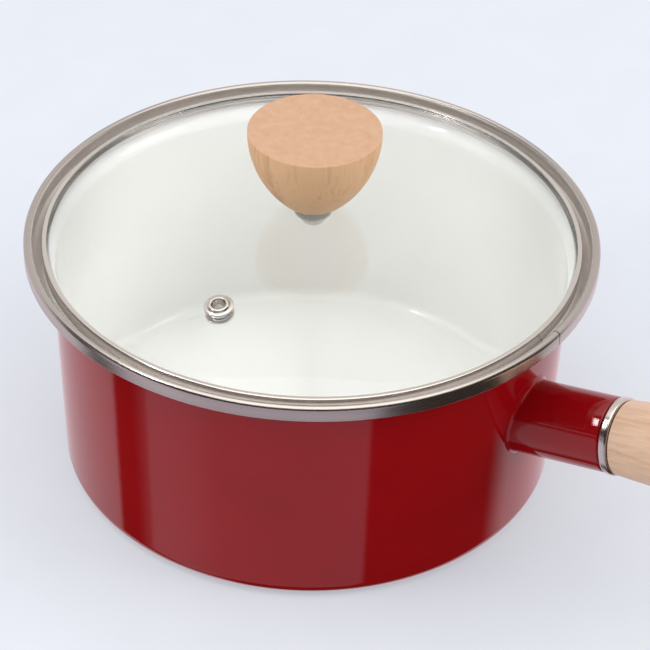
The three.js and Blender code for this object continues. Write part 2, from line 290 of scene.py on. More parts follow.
def add_node(tree, kind, inputs=None, **settings):
    """Adds one node. inputs maps a socket's name or number to a value or another node's output."""
    made = tree.nodes.new(kind)
    for name, value in settings.items():
        setattr(made, name, value)
    for socket, value in (inputs or {}).items():
        if isinstance(value, bpy.types.NodeSocket):
            tree.links.new(value, made.inputs[socket])
        else:
            made.inputs[socket].default_value = value
    return made


def new_material(name):
    """An empty material, with its tree, Object coordinates and output."""
    material = bpy.data.materials.new(name)
    material.use_nodes = True
    tree = material.node_tree
    tree.nodes.clear()
    where = add_node(tree, "ShaderNodeTexCoord").outputs["Object"]
    output = add_node(tree, "ShaderNodeOutputMaterial")
    return material, tree, where, output


def ramp(tree, factor, *stops):
    """A colour ramp from (position, sRGB hex or grey level) stops."""
    node = add_node(tree, "ShaderNodeValToRGB", {"Fac": factor})
    while len(node.color_ramp.elements) < len(stops):
        node.color_ramp.elements.new(0.5)
    for element, (position, shade) in zip(node.color_ramp.elements, stops):
        element.position = position
        element.color = colour(shade) if isinstance(shade, str) else (shade, shade, shade, 1)
    return node.outputs["Color"]


def calculate(tree, operation, *values, **settings):
    """The result of a Math node."""
    return add_node(tree, "ShaderNodeMath", dict(enumerate(values)), operation=operation,
                    **settings).outputs[0]


def blend(tree, share, first, second):
    """Two colours mixed by a share."""
    return add_node(tree, "ShaderNodeMix", {0: share, 6: first, 7: second},
                    data_type="RGBA").outputs[2]


def noise(tree, where, size, detail, **others):
    """A noise pattern from 0 to 1, whose features are about as wide as its size in metres."""
    return add_node(tree, "ShaderNodeTexNoise", {
        "Vector": where, "Scale": 1 / size, "Detail": detail, **others}).outputs["Fac"]


def stretch(tree, value, low, high):
    """A value from 0 to 1, stretched from low to high."""
    return add_node(tree, "ShaderNodeMapRange", {
        "Value": value, "To Min": low, "To Max": high}).outputs["Result"]


def bump(tree, height, strength, depth):
    """The normals of a fine relief, with its depth in metres."""
    return add_node(tree, "ShaderNodeBump", {
        "Height": height, "Strength": strength, "Distance": depth}).outputs["Normal"]


def finish_material(tree, output, shader_inputs):
    """Ends a tree in one Principled shader."""
    shader = add_node(tree, "ShaderNodeBsdfPrincipled", shader_inputs)
    tree.links.new(shader.outputs["BSDF"], output.inputs["Surface"])


# %% [markdown]
# ## Vitreous enamel
# Enamel is glass powder fired onto steel. It flows as it melts, so it is mirror smooth but never
# quite flat: a faint orange peel a few millimetres across makes reflections waver. The colour lies
# under clear glass, so the shine is white and the body stays deep. One function makes the red
# outside and the off-white inside, because they differ only in colour.


# %% Enamel materials
def vitreous_enamel(name, body, deeper, roughness, ripple):
    """Fired glass enamel: a deep even body under a wet, slightly wavering shine."""
    material, tree, where, output = new_material(name)
    tint = ramp(tree, noise(tree, where, 34 * MM, 3), (0.3, deeper), (0.7, body))
    relief = bump(tree, noise(tree, where, 7 * MM, 2), 1.0, ripple)
    gloss = stretch(tree, noise(tree, where, 18 * MM, 5), roughness * 0.8, roughness * 1.3)
    finish_material(tree, output, {
        "Base Color": tint, "Roughness": gloss, "IOR": 1.5, "Normal": relief})
    return material


RED_ENAMEL = vitreous_enamel("red_vitreous_enamel", "#8C080E", "#84070C", 0.06, 0.012 * MM)
WHITE_ENAMEL = vitreous_enamel("off_white_vitreous_enamel", "#F4F3F0", "#F1F0ED", 0.10, 0.015 * MM)
print("enamels:", RED_ENAMEL.name, WHITE_ENAMEL.name)

# %% [markdown]
# ## Stainless steel
# Band and fittings are spun and polished against a wheel while they turn, so the fine scratches
# run round the piece. The pattern is made from the distance to the axis and the height, with only
# a slow change along the turn, which draws each scratch out into a long streak. Streaks change
# both the roughness and, very slightly, the height of the surface.


# %% Stainless steel material
STREAK_TURN = 1.6 * MM              # a whole radian of turn counts as this much, so streaks are long


def spun_stainless(name, tone, darker, roughness, grit, frame_of_piece=None):
    """Polished steel with streaks that run round its axis: bright, with drawn-out fine lines."""
    material, tree, where, output = new_material(name)
    if frame_of_piece is not None:
        back = frame_of_piece.inverted()
        where = add_node(tree, "ShaderNodeMapping", {
            "Vector": where, "Location": back.to_translation(),
            "Rotation": back.to_euler()}).outputs["Vector"]
    axes = add_node(tree, "ShaderNodeSeparateXYZ", {"Vector": where})
    turn = calculate(tree, "ARCTAN2", axes.outputs["Y"], axes.outputs["X"])
    level = add_node(tree, "ShaderNodeCombineXYZ", {"X": axes.outputs["X"], "Y": axes.outputs["Y"]})
    radius = add_node(tree, "ShaderNodeVectorMath", {0: level.outputs["Vector"]}, operation="LENGTH")
    slow_turn = calculate(tree, "MULTIPLY", turn, STREAK_TURN)
    unrolled = add_node(tree, "ShaderNodeCombineXYZ", {
        "X": slow_turn, "Y": radius.outputs["Value"], "Z": axes.outputs["Z"]}).outputs["Vector"]
    lines = noise(tree, unrolled, grit, 3, Roughness=0.6)
    tint = ramp(tree, noise(tree, unrolled, 6 * grit, 2), (0.3, darker), (0.7, tone))
    gloss = stretch(tree, lines, roughness * 0.6, roughness * 1.5)
    finish_material(tree, output, {
        "Base Color": tint, "Metallic": 1.0, "Roughness": gloss,
        "Normal": bump(tree, lines, 0.35, 0.004 * MM)})
    return material


# The streaks of a real polish are about 0.05 mm wide; these are 0.5 mm, so that they show.
RIM_STEEL = spun_stainless("spun_stainless_rim", "#CBC5C1", "#BBB4B0", 0.24, 0.5 * MM)
LID_STEEL = spun_stainless("spun_stainless_lid", "#E4E0DC", "#D6D1CD", 0.2, 0.4 * MM)
# The seat that the lid rests on is rougher than the band, and its paler tone is painted light, which makes
# these inward faces brighter than the rest of the steel.
PAINTED_LIGHT_SEAT_STEEL = spun_stainless("dull_stainless_seat_painted_light", "#F4F1EE", "#EBE7E4", 0.42, 0.5 * MM)
print("steels:", RIM_STEEL.name, PAINTED_LIGHT_SEAT_STEEL.name, LID_STEEL.name)

# %% [markdown]
# ## Beech
# The knob and the grip are turned from beech, sanded and lightly oiled. Beech is pale pinkish tan,
# with a fine straight grain and short darker flecks along it. On a long face the grain shows as
# lines, and on the knob's flat top, cut across the grain, only as soft patches and pores. The
# pattern is a noise squeezed hard across the grain, and it runs along the piece's own axis.


# %% Beech material
def turned_beech(name, light, dark, frame_of_piece, end_tint):
    """Oiled beech: fine lines and short flecks along the grain, soft and pinkish on end grain."""
    material, tree, where, output = new_material(name)
    back = frame_of_piece.inverted()
    along = add_node(tree, "ShaderNodeMapping", {
        "Vector": where, "Location": back.to_translation(), "Rotation": back.to_euler()})
    drawn = add_node(tree, "ShaderNodeMapping", {
        "Vector": along.outputs["Vector"], "Scale": (1.0, 1.0, 0.045)})
    grain = noise(tree, drawn.outputs["Vector"], 1.1 * MM, 5, Roughness=0.62)
    broad = noise(tree, drawn.outputs["Vector"], 9 * MM, 3, Distortion=0.6)
    mixed = add_node(tree, "ShaderNodeMix", {0: 0.55, 2: grain, 3: broad})
    wood = ramp(tree, mixed.outputs[0], (0.36, dark), (0.52, light), (0.68, light))
    short = add_node(tree, "ShaderNodeMapping", {
        "Vector": along.outputs["Vector"], "Scale": (1.0, 1.0, 0.28)})
    flecks = add_node(tree, "ShaderNodeTexVoronoi", {
        "Vector": short.outputs["Vector"], "Scale": 1 / (1.5 * MM)})
    speck = ramp(tree, flecks.outputs["Distance"], (0.10, 0.16), (0.22, 0.0))
    flecked = blend(tree, speck, wood, colour("#A9794E"))
    normal = add_node(tree, "ShaderNodeNewGeometry").outputs["Normal"]
    axis = (frame_of_piece.to_3x3() @ Vector((0, 0, 1))).normalized()
    facing = add_node(tree, "ShaderNodeVectorMath", {0: normal, 1: axis}, operation="DOT_PRODUCT")
    end_share = add_node(tree, "ShaderNodeMapRange", {
        "Value": facing.outputs["Value"], "From Min": 0.75, "From Max": 0.98})
    pores = noise(tree, along.outputs["Vector"], 3.2 * MM, 6, Roughness=0.65)
    end_wood = ramp(tree, pores, (0.3, end_tint[1]), (0.65, end_tint[0]))
    finish_material(tree, output, {
        "Base Color": blend(tree, end_share.outputs["Result"], flecked, end_wood),
        "Roughness": stretch(tree, grain, 0.42, 0.6), "IOR": 1.5,
        "Specular IOR Level": 0.3, "Normal": bump(tree, grain, 0.5, 0.03 * MM)})
    return material


# %% [markdown]
# ## Glass
# The lid is soda-lime glass, pressed to a dome and tempered: clear, faintly green in its
# thickness. Real lamps shine through it, but a traced shadow ray is stopped by any refracting
# surface, so for shadow rays only the glass is swapped for a clear stand-in.


# %% Glass material
def tempered_glass():
    """Clear pressed glass: sharp highlights, and a faint green cast where it is thick."""
    material, tree, where, output = new_material("tempered_soda_lime_glass")
    wave = noise(tree, where, 40 * MM, 1)
    tint = ramp(tree, wave, (0.2, "#FDFEFC"), (0.8, "#FFFFFE"))
    glass = add_node(tree, "ShaderNodeBsdfPrincipled", {
        "Base Color": tint, "Roughness": 0.0, "IOR": 1.5, "Transmission Weight": 1.0,
        "Normal": bump(tree, wave, 0.6, 0.02 * MM)})
    clear = add_node(tree, "ShaderNodeBsdfTransparent", {"Color": colour("#FBFCFA")})
    path = add_node(tree, "ShaderNodeLightPath")
    lit = add_node(tree, "ShaderNodeMixShader", {
        0: path.outputs["Is Shadow Ray"], 1: glass.outputs["BSDF"], 2: clear.outputs["BSDF"]})
    tree.links.new(lit.outputs["Shader"], output.inputs["Surface"])
    return material


GLASS = tempered_glass()
print("glass:", GLASS.name)

# %% [markdown]
# ## Rubber, brass and bolts
# The small fixings under the knob show through the glass: a translucent silicone bush and gasket,
# a zinc-plated washer and screw. Inside the wood and the socket there are a brass insert, a rod
# and a plate, which keep their CAD shapes and get a plain but true finish.


# %% Small finishes
def cast_finish(name, tone, darker, roughness, metallic, grain, clearness=0.0):
    """An even finish with a fine mottle: soft on rubber, satin on cast or plated metal."""
    material, tree, where, output = new_material(name)
    mottle = noise(tree, where, grain, 4)
    tint = ramp(tree, mottle, (0.3, darker), (0.7, tone))
    finish_material(tree, output, {
        "Base Color": tint, "Metallic": metallic,
        "Roughness": stretch(tree, mottle, roughness * 0.8, roughness * 1.2),
        "Transmission Weight": clearness, "IOR": 1.5, "Normal": bump(tree, mottle, 0.3, 0.01 * MM)})
    return material


SILICONE = cast_finish("clear_moulded_silicone", "#F2F1EC", "#E8E7E1", 0.3, 0.0, 1.2 * MM, 0.7)
PLATED_STEEL = cast_finish("zinc_plated_steel", "#DDDCD8", "#C9C8C4", 0.32, 1.0, 0.8 * MM)
POLISHED_STEEL = cast_finish("polished_cast_stainless", "#D3CEC8", "#C0BAB3", 0.14, 1.0, 1.5 * MM)
BRASS = cast_finish("machined_brass", "#CDA554", "#B48C40", 0.28, 1.0, 0.8 * MM)
print("small finishes: 4")

# %% [markdown]
# ## Pan
# The body is one sheet drawn into a cup: a flat base, a rounded foot, a wall that widens a little
# upwards, a flare that carries the lid, and a short collar that the steel band grips. It could be
# a cup with a Solidify modifier, but the base, the wall and the collar meet at different
# fillets inside and out, so the section is followed all the way round. The outer skin gets the
# red enamel and the inner skin the off-white one; the border is hidden under the band.

# %% Pan body
ROUND_SIDES = 144
FOOT_FILLET, FLARE_FILLET = 6 * MM, 4 * MM


def make_pan():
    """The enamelled body, with its red and its off-white skin."""
    collar_inside = COLLAR_RADIUS - PAN_SHEET
    root = 1.2 * MM
    inner_flare = flare_height(WALL_RADIUS - PAN_SHEET, COLLAR_UPPER)
    inner_foot = FOOT_RADIUS - PAN_SHEET + (WALL_RADIUS - FOOT_RADIUS) * PAN_SHEET / FLARE_START
    pan = turned("enamel_pan", [
        (FOOT_RADIUS, 0, FOOT_FILLET),
        (WALL_RADIUS, FLARE_START, FLARE_FILLET),
        (COLLAR_RADIUS, flare_height(COLLAR_RADIUS, COLLAR_UNDER), root + COLLAR_UNDER),
        (COLLAR_RADIUS, COLLAR_TOP, 0.5 * MM),
        (collar_inside, COLLAR_TOP, 0.5 * MM),
        (collar_inside, flare_height(collar_inside, COLLAR_UPPER), root + COLLAR_UPPER),
        (WALL_RADIUS - PAN_SHEET, inner_flare, FLARE_FILLET + PAN_SHEET),
        (inner_foot, PAN_SHEET, FOOT_FILLET - PAN_SHEET),
    ], ROUND_SIDES, closed=False, steps=6)
    finish(pan, RED_ENAMEL, WHITE_ENAMEL)
    for face in pan.data.polygons:
        floor = face.normal.z > 0.5 and math.hypot(*face.center[:2]) < collar_inside
        inside = outwardness(face) < 0 or floor
        face.material_index = 1 if inside else 0
    return pan


enamel_pan = make_pan()
settle(enamel_pan, "pan", "pan_enamel", "pan_body")

# %% [markdown]
# ## Rim band
# A strip of stainless steel is rolled over the pan's collar: a rounded bead, an outer face 5 mm
# deep, and a sloped flange that the lid sits on. Its two ends butt together beside the handle.
# The ring is turned whole, and the hairline of the butt joint is cut out of it with a thin block.

# %% Rim band
SEAM_ANGLE = math.radians(-1.5)
SEAM_WIDTH = 0.4 * MM


def make_rim_band():
    """The rolled stainless band with its butt joint."""
    bottom = PAN_HEIGHT - BAND_DEPTH
    flange_inside = BEAD_INSIDE - 5 * MM
    back = BEAD_INSIDE + BAND_SHEET
    crown, root = 1.6 * MM, 1.2 * MM
    band = turned("steel_rim_band", [
        (RIM_RADIUS, bottom, 0.15 * MM),
        (RIM_RADIUS, PAN_HEIGHT, crown),
        (BEAD_INSIDE, PAN_HEIGHT, crown),
        (BEAD_INSIDE, flare_height(BEAD_INSIDE), root),
        (flange_inside, flare_height(flange_inside)),
        (flange_inside, flare_height(flange_inside, BAND_SHEET)),
        (back, flare_height(back, BAND_SHEET), root + BAND_SHEET),
        (back, PAN_HEIGHT - BAND_SHEET, crown - BAND_SHEET),
        (RIM_RADIUS - BAND_SHEET, PAN_HEIGHT - BAND_SHEET, crown - BAND_SHEET),
        (RIM_RADIUS - BAND_SHEET, bottom),
    ], ROUND_SIDES, steps=6)
    deselect_all()
    bpy.ops.mesh.primitive_cube_add(size=1, location=(RIM_RADIUS * math.cos(SEAM_ANGLE),
                                                      RIM_RADIUS * math.sin(SEAM_ANGLE), PAN_HEIGHT))
    block = bpy.context.object
    block.scale = (20 * MM, SEAM_WIDTH, 30 * MM)
    block.rotation_euler = (0, 0, SEAM_ANGLE)
    bpy.ops.object.transform_apply(location=False)
    cut(band, block)
    # The inward faces of the bead and the flange take the seat steel, whose paler tone is painted light.
    finish(band, RIM_STEEL, PAINTED_LIGHT_SEAT_STEEL)
    for face in band.data.polygons:
        inwards = outwardness(face) < -0.3 * RIM_RADIUS
        face.material_index = 1 if inwards and math.hypot(*face.center[:2]) < back else 0
    return band


rim_band = make_rim_band()
settle(rim_band, "pan", "rim_steel", "rim_band")

# %% [markdown]
# ## Handle
# The handle's pieces are all turned about one line that leaves the wall and rises at 11 degrees.
# Each is modelled upright at the origin, along Z, and then placed by the handle's own matrix.

# %% The handle's frame
HANDLE_RISE = math.radians(11)
HANDLE_HEIGHT = PAN_HEIGHT - 41.2 * MM
SOCKET_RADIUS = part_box("handle_socket")[1].y
SOCKET_SHEET = 1.4 * MM
SOCKET_LENGTH = 33.8 * MM
FERRULE_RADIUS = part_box("handle_ferrule")[1].y
FERRULE_WIDTH = 3.1 * MM
HANDLE_SIDES = 72
wall_at_handle = FOOT_RADIUS + (WALL_RADIUS - FOOT_RADIUS) * HANDLE_HEIGHT / FLARE_START
HANDLE_FRAME = (Matrix.Translation((wall_at_handle, 0, HANDLE_HEIGHT))
                @ Matrix.Rotation(math.pi / 2 - HANDLE_RISE, 4, "Y"))
FERRULE_START = SOCKET_LENGTH + GAP
GRIP_START = FERRULE_START + FERRULE_WIDTH + GAP
GRIP_LENGTH = 105 * MM
GRIP_END = GRIP_START + GRIP_LENGTH
print("handle starts at", [round(x / MM, 2) for x in HANDLE_FRAME.to_translation()])

# %% [markdown]
# ## Socket
# The socket is a tube welded to the wall and enamelled with it, so the enamel runs over the weld
# in a small flared foot. The first ring is wrapped onto the pan's wall with a Shrinkwrap modifier,
# which bends it to the curved wall. The tube is then extruded from that bent ring, tightening from
# the foot to the tube, and its far end is flattened for the ferrule.


# %% Socket with its weld foot
def make_socket():
    """The enamelled socket, its foot shaped to the pan's wall."""
    foot = SOCKET_RADIUS + 1.5 * MM
    deselect_all()
    bpy.ops.mesh.primitive_circle_add(vertices=HANDLE_SIDES, radius=foot)
    socket = bpy.context.object
    socket.name = "enamel_socket"
    socket.matrix_world = HANDLE_FRAME @ Matrix.Translation((0, 0, 20 * MM))
    apply_modifier(socket, "SHRINKWRAP", target=enamel_pan, wrap_method="PROJECT",
                   use_project_z=True, use_negative_direction=True, use_positive_direction=False,
                   offset=0.02 * MM)
    bpy.ops.object.transform_apply(location=True, rotation=True, scale=True)
    place(socket, HANDLE_FRAME.inverted())
    bpy.ops.object.mode_set(mode="EDIT")
    bpy.ops.mesh.select_all(action="SELECT")
    radius = foot
    fillet = 1.5 * MM
    for step in range(1, 7):
        angle = math.pi / 2 * step / 6
        next_radius = SOCKET_RADIUS + fillet * (1 - math.sin(angle))
        rise = fillet * (math.cos(angle - math.pi / 2 / 6) - math.cos(angle))
        bpy.ops.mesh.extrude_edges_move(TRANSFORM_OT_translate={"value": (0, 0, rise)})
        share = next_radius / radius
        bpy.ops.transform.resize(value=(share, share, 1), center_override=(0, 0, 0))
        radius = next_radius
    for level, squeeze in ((12 * MM, 0.35), (SOCKET_LENGTH - 1 * MM, 0.0), (SOCKET_LENGTH, 0.0)):
        bpy.ops.mesh.extrude_edges_move(TRANSFORM_OT_translate={"value": (0, 0, 0)})
        mesh = bmesh.from_edit_mesh(socket.data)
        ring = [vertex.co for vertex in mesh.verts if vertex.select]
        middle = sum(co.z for co in ring) / len(ring)
        bpy.ops.transform.translate(value=(0, 0, level - middle))
        bpy.ops.transform.resize(value=(1, 1, squeeze), center_override=(0, 0, level))
    inside = (SOCKET_RADIUS - SOCKET_SHEET) / SOCKET_RADIUS
    bpy.ops.mesh.extrude_edges_move(TRANSFORM_OT_translate={"value": (0, 0, 0)})
    bpy.ops.transform.resize(value=(inside, inside, 1), center_override=(0, 0, SOCKET_LENGTH))
    bpy.ops.mesh.extrude_edges_move(TRANSFORM_OT_translate={"value": (0, 0, 6 * MM - SOCKET_LENGTH)})
    bpy.ops.mesh.edge_face_add()
    select_edges(socket, lambda co: abs(co.z - SOCKET_LENGTH) < 0.01 * MM
                 and abs(math.hypot(co.x, co.y) - SOCKET_RADIUS) < 0.05 * MM)
    bpy.ops.mesh.bevel(offset=0.5 * MM, segments=3, affect="EDGES")
    bpy.ops.mesh.select_all(action="SELECT")
    bpy.ops.mesh.normals_make_consistent(inside=False)
    bpy.ops.object.mode_set(mode="OBJECT")
    place(socket, HANDLE_FRAME)
    return finish(socket, RED_ENAMEL, angle=50)


enamel_socket = make_socket()
settle(enamel_socket, "pan", "socket_enamel", "handle_socket")

# %% [markdown]
# ## Ferrule and grip
# A bright steel ring closes the socket, and the beech grip starts just inside its edge. The grip
# swells a little towards its middle, which follows one sine curve, and its tenon fills the socket.

# %% Ferrule
HANDLE_STEEL = spun_stainless("spun_stainless_ferrule", "#E0DCD8", "#CCC7C2", 0.2, 0.4 * MM, HANDLE_FRAME)


def make_ferrule():
    """The steel ring between the socket and the grip."""
    ferrule = turned("steel_ferrule", [
        (SOCKET_RADIUS - SOCKET_SHEET, FERRULE_START),
        (FERRULE_RADIUS, FERRULE_START, 0.7 * MM),
        (FERRULE_RADIUS, FERRULE_START + FERRULE_WIDTH, 1.1 * MM),
        (SOCKET_RADIUS - SOCKET_SHEET, FERRULE_START + FERRULE_WIDTH),
    ], HANDLE_SIDES, steps=5)
    place(ferrule, HANDLE_FRAME)
    return finish(ferrule, HANDLE_STEEL)


settle(make_ferrule(), "pan", "ferrule_steel", "handle_ferrule")

# %% Grip
GRIP_START_RADIUS = FERRULE_RADIUS - 0.6 * MM
GRIP_END_RADIUS = 12.4 * MM
GRIP_SWELL = 2.6 * MM
ROD_RADIUS = 2.5 * MM
TENON = 20 * MM
GRIP_BEECH = turned_beech("oiled_beech_grip", "#DBB89B", "#CAA384", HANDLE_FRAME, ("#D9B08A", "#C79A72"))


def make_grip():
    """The turned beech grip with its tenon and the bore for the tie rod."""
    tenon_radius = SOCKET_RADIUS - SOCKET_SHEET - GAP
    bore = ROD_RADIUS + GAP
    belly_steps = 20
    belly = []
    for step in range(1, belly_steps):
        along = step / belly_steps
        straight = GRIP_START_RADIUS + (GRIP_END_RADIUS - GRIP_START_RADIUS) * along
        belly.append((straight + GRIP_SWELL * math.sin(math.pi * along),
                      GRIP_START + GRIP_LENGTH * along))
    grip = turned("beech_grip", [
        (bore, GRIP_START - TENON),
        (tenon_radius, GRIP_START - TENON, 0.5 * MM),
        (tenon_radius, GRIP_START),
        (GRIP_START_RADIUS, GRIP_START, 0.5 * MM),
        *belly,
        (GRIP_END_RADIUS, GRIP_END, 5 * MM),
        (bore, GRIP_END),
    ], HANDLE_SIDES, steps=7)
    place(grip, HANDLE_FRAME)
    return finish(grip, GRIP_BEECH)


settle(make_grip(), "pan", "grip_wood", "handle_grip")

# %% [markdown]
# ## End of the handle
# A washer, a cast eye screwed onto the tie rod, and a loose ring to hang the pan by. The eye is
# cast in one piece, so a turned stem and a bent ring are joined, remeshed as one skin and
# smoothed, which gives the soft inner corners of a casting. The ring is bent wire, butt welded,
# and the weld shows as a slight swelling.

# %% End washer
END_WASHER_RADIUS, END_WASHER_THICKNESS = 7.5 * MM, 1.2 * MM
END_WASHER_START = GRIP_END + GAP
END_WASHER_END = END_WASHER_START + END_WASHER_THICKNESS
EYE_START = END_WASHER_END + GAP
EYE_RADIUS, EYE_BAR = 5.6 * MM, 2.2 * MM
EYE_SKIN = 0.05 * MM   # kept inside the bar, for the skin that remeshing adds
EYE_BOSS_RADIUS, EYE_BOSS = 4.6 * MM, 8 * MM
EYE_CENTRE = EYE_START + EYE_BOSS + EYE_RADIUS


def make_end_washer():
    """The domed washer that the eye pulls against."""
    washer = turned("steel_end_washer", [
        (ROD_RADIUS + GAP, END_WASHER_START),
        (END_WASHER_RADIUS, END_WASHER_START, 0.1 * MM),
        (END_WASHER_RADIUS, END_WASHER_END, 0.7 * MM),
        (ROD_RADIUS + GAP, END_WASHER_END),
    ], 48, steps=4)
    place(washer, HANDLE_FRAME)
    return finish(washer, HANDLE_STEEL)


settle(make_end_washer(), "pan", "end_washer_steel", "end_washer")


# %% Hanging eye
def make_hanging_eye():
    """The cast eye: a stem with a hexagon's soft shoulder, and the bent ring on it."""
    stem = turned("cast_hanging_eye", [
        (EYE_BOSS_RADIUS - 0.3 * MM, EYE_START, 0.3 * MM),
        (EYE_BOSS_RADIUS, EYE_START + 0.8 * MM, 0.3 * MM),
        (EYE_BOSS_RADIUS, EYE_START + 4.2 * MM, 0.6 * MM),
        (EYE_BOSS_RADIUS - 1.2 * MM, EYE_START + 5.6 * MM, 0.8 * MM),
        (EYE_BOSS_RADIUS - 1.4 * MM, EYE_START + EYE_BOSS + 1 * MM),
    ], 48, closed=False)
    deselect_all()
    bpy.ops.mesh.primitive_torus_add(location=(0, 0, EYE_CENTRE), rotation=(math.pi / 2, 0, 0),
                                     major_segments=64, minor_segments=24,
                                     major_radius=EYE_RADIUS, minor_radius=EYE_BAR - EYE_SKIN)
    bpy.ops.object.transform_apply(location=True, rotation=True)
    ring = bpy.context.object
    activate(ring)
    stem.select_set(True)
    bpy.context.view_layer.objects.active = stem
    bpy.ops.object.join()
    apply_modifier(stem, "REMESH", mode="VOXEL", voxel_size=0.28 * MM, use_smooth_shade=True)
    apply_modifier(stem, "SMOOTH", factor=0.6, iterations=8)
    place(stem, HANDLE_FRAME)
    stem.data.materials.append(POLISHED_STEEL)
    return stem


settle(make_hanging_eye(), "pan", "eye_steel", "hanging_eye")


# %% Hanging ring
def make_hanging_ring():
    """The wire ring, hanging straight down in the eye, with its butt weld at the bottom."""
    low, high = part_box("hanging_ring")
    centre = (low + high) / 2
    wire = (high.x - low.x) / 2
    deselect_all()
    bpy.ops.mesh.primitive_torus_add(location=centre, rotation=(0, math.pi / 2, 0),
                                     major_segments=96, minor_segments=20,
                                     major_radius=(high.z - low.z) / 2 - wire, minor_radius=wire)
    ring = bpy.context.object
    ring.name = "wire_hanging_ring"
    bpy.ops.object.transform_apply(location=True, rotation=True)
    bpy.ops.object.mode_set(mode="EDIT")
    weld = Vector((centre.x, centre.y, low.z + wire))
    for reach, share in ((2.2 * MM, 0.97), (1.0 * MM, 1.05)):
        select_edges(ring, lambda co, reach=reach: abs(co.y - weld.y) < reach and co.z < centre.z)
        bpy.ops.transform.resize(value=(share, 1, share), center_override=weld)
    bpy.ops.object.mode_set(mode="OBJECT")
    return finish(ring, POLISHED_STEEL, angle=60)


settle(make_hanging_ring(), "ring", "ring_steel", "hanging_ring")

# %% [markdown]
# ## Lid
# The glass is a shallow dome of even thickness, with a flat border that a steel channel is
# pressed round. The dome is part of a sphere, so its section follows the sphere's formula. It has
# a hole for the knob's screw at the crown, and one for the vent, which is drilled with a boolean.

# %% The dome's formula and the vent's frame
GLASS_THICKNESS = 4 * MM
GLASS_TOP = LID_TOP - LID_SHEET - REST
DOME_RADIUS = LID_RADIUS - 2.4 * MM
GLASS_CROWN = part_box("lid_glass")[1].z
DOME_RISE = 12.6 * MM
SPHERE_RADIUS = (DOME_RADIUS ** 2 + DOME_RISE ** 2) / (2 * DOME_RISE)
VENT_RADIUS, VENT_ANGLE = 61.5 * MM, math.radians(273)


def dome_height(radius):
    """Height of the glass's upper face."""
    return GLASS_TOP + DOME_RISE - SPHERE_RADIUS + math.sqrt(SPHERE_RADIUS ** 2 - radius ** 2)


VENT_FRAME = (Matrix.Translation((VENT_RADIUS * math.cos(VENT_ANGLE),
                                  VENT_RADIUS * math.sin(VENT_ANGLE), dome_height(VENT_RADIUS)))
              @ Matrix.Rotation(VENT_ANGLE, 4, "Z")
              @ Matrix.Rotation(math.asin(VENT_RADIUS / SPHERE_RADIUS), 4, "Y"))
print("crown by the formula", round(dome_height(0) / MM, 2), "by the frame", round(GLASS_CROWN / MM, 2))


# %% Glass
def make_glass():
    """The tempered dome with its two holes."""
    hole = 4 * MM
    rings = 22
    radii = [DOME_RADIUS + (hole - DOME_RADIUS) * step / rings for step in range(rings + 1)]
    upper = [(radius, dome_height(radius)) for radius in radii]
    lower = [(radius, height - GLASS_THICKNESS) for radius, height in reversed(upper)]
    edge = LID_RADIUS - LID_SHEET - REST
    glass = turned("glass_dome", [
        *lower,
        (edge, GLASS_TOP - GLASS_THICKNESS, 0.8 * MM),
        (edge, GLASS_TOP, 0.8 * MM),
        *upper,
    ], ROUND_SIDES, steps=4)
    deselect_all()
    bpy.ops.mesh.primitive_cylinder_add(vertices=48, radius=3.4 * MM, depth=24 * MM)
    drill = bpy.context.object
    place(drill, VENT_FRAME)
    cut(glass, drill)
    return finish(glass, GLASS)


settle(make_glass(), "lid", "lid_glass", "lid_glass")


# %% Lid band
def make_lid_band():
    """The steel channel round the glass, with a short upper lip and a longer lower one."""
    lip, flange = 1.8 * MM, 3.1 * MM
    round_edge = 0.8 * MM
    band = turned("steel_lid_band", [
        (LID_RADIUS - flange, LID_BOTTOM),
        (LID_RADIUS, LID_BOTTOM, round_edge),
        (LID_RADIUS, LID_TOP, round_edge),
        (LID_RADIUS - lip, LID_TOP, 0.15 * MM),
        (LID_RADIUS - lip, LID_TOP - LID_SHEET),
        (LID_RADIUS - LID_SHEET, LID_TOP - LID_SHEET, 0.4 * MM),
        (LID_RADIUS - LID_SHEET, LID_BOTTOM + LID_SHEET, 0.4 * MM),
        (LID_RADIUS - flange, LID_BOTTOM + LID_SHEET),
    ], ROUND_SIDES, steps=5)
    # The band's outer face takes the darker rim steel as painted shade; the lip and the inner faces keep
    # the paler lid steel.
    finish(band, LID_STEEL, RIM_STEEL)
    for face in band.data.polygons:
        face.material_index = 1 if outwardness(face) > 0.8 * LID_RADIUS else 0
    return band


settle(make_lid_band(), "lid", "lid_steel", "lid_band")

# %% [markdown]
# ## Steam vent
# The vent is a steel eyelet, set like a rivet: a flat flange on the glass, a raised rolled lip
# round the hole, and a tail rolled out over a washer under the glass.

# %% Vent eyelet and washer
VENT_STEEL = spun_stainless("spun_stainless_vent", "#DEDAD6", "#C9C4BF", 0.07, 0.3 * MM, VENT_FRAME)


